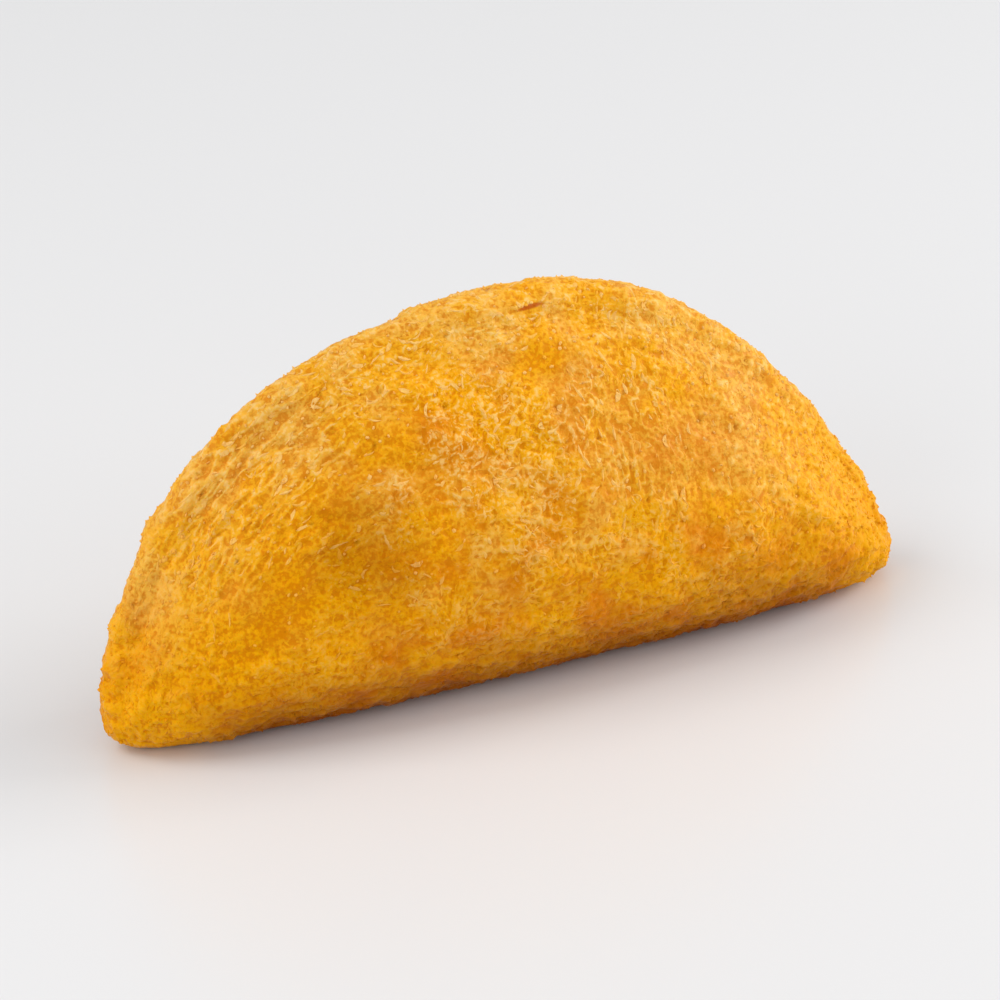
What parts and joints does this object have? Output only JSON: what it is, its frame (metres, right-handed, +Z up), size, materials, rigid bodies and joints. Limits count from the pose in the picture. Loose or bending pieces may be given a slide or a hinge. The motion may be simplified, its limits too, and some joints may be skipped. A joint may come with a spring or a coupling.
{
  "type": "empanada",
  "caption": "Half-moon fried corn turnover with a swollen belly, a pressed curved edge and a blistered, pebbled crust. It stands on its folded edge.",
  "frame": {"origin": "under the middle of the turnover, on the surface that it stands on", "axes": "+X along the folded edge, +Y away from the face that looks out, +Z up from the fold to the curved edge"},
  "size_m": [0.1184, 0.0336, 0.0545],
  "materials": {
    "fried_dough": "fried corn dough, golden yellow to orange brown, satin from oil"
  },
  "bodies": {
    "root": {"empanada": "fried_dough"}
  },
  "joints": []
}
